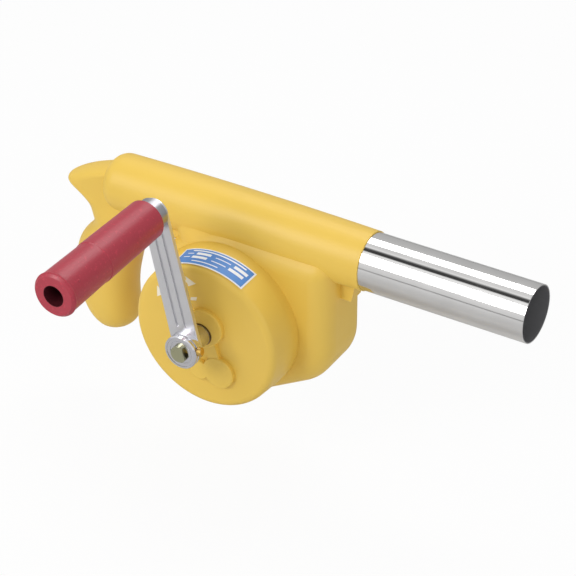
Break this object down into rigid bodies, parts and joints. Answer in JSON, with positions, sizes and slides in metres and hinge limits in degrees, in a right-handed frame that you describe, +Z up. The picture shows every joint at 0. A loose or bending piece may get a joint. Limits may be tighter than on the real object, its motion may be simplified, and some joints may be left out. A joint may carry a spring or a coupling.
{
  "type": "hand crank fan",
  "caption": "Pistol-grip hand crank blower: a side crank drives a geared fan that sends air out of a long steel tube.",
  "frame": {"origin": "the middle of the grip, on the plane where the two moulded halves meet", "axes": "+X along the blast tube to its mouth, +Z up with the grip pointing down, crank on the -Y side"},
  "size_m": [0.2887, 0.1723, 0.1448],
  "materials": {
    "housing": "satin",
    "tube": "polished",
    "zinc": "bright zinc plate",
    "steel": "satin",
    "shaft": "yellow zinc plate",
    "brass": "satin",
    "fastener": "zinc plate",
    "handle": "satin",
    "gear": "satin",
    "impeller": "satin",
    "bush": "sintered bronze"
  },
  "bodies": {
    "housing": {"front_shell": "housing", "rear_shell": "housing", "gear_cover": "housing", "blast_tube": "tube", "cover_screws": "fastener", "shell_screws": "fastener", "lug_screw": "fastener", "idler_pin": "steel", "front_bush": "bush", "rear_bush": "bush", "crank_bush": "bush"},
    "crank": {"crank_shaft": "shaft", "drive_gear": "gear", "crank_clip": "steel", "thrust_washer": "steel", "crank_arm": "zinc", "arm_hub": "zinc", "set_screw": "brass", "handle_spindle": "steel", "spindle_clip": "steel"},
    "handle": {"handle_sleeve": "handle"},
    "idler": {"idler_gear": "gear"},
    "fan": {"impeller": "impeller", "impeller_shaft": "steel", "impeller_pinion": "gear", "impeller_clip": "steel"}
  },
  "joints": [
    {"name": "crank_turn", "type": "hinge", "parent": "housing", "child": "crank", "pos_m": [0.092, 0, 0.01792], "axis": [0, 1, 0], "continuous": true},
    {"name": "handle_spin", "type": "hinge", "parent": "crank", "child": "handle", "pos_m": [0.07364, 0, 0.09619], "axis": [0, 1, 0], "continuous": true},
    {"name": "idler_spin", "type": "hinge", "parent": "housing", "child": "idler", "pos_m": [0.10218, 0, -0.00437], "axis": [0, 1, 0], "continuous": true},
    {"name": "fan_spin", "type": "hinge", "parent": "housing", "child": "fan", "pos_m": [0.092, 0, 0.014], "axis": [0, 1, 0], "continuous": true}
  ],
  "couplings": [
    {"joint": "idler_spin", "follows": "crank_turn", "ratio": -4},
    {"joint": "fan_spin", "follows": "crank_turn", "ratio": 16}
  ]
}
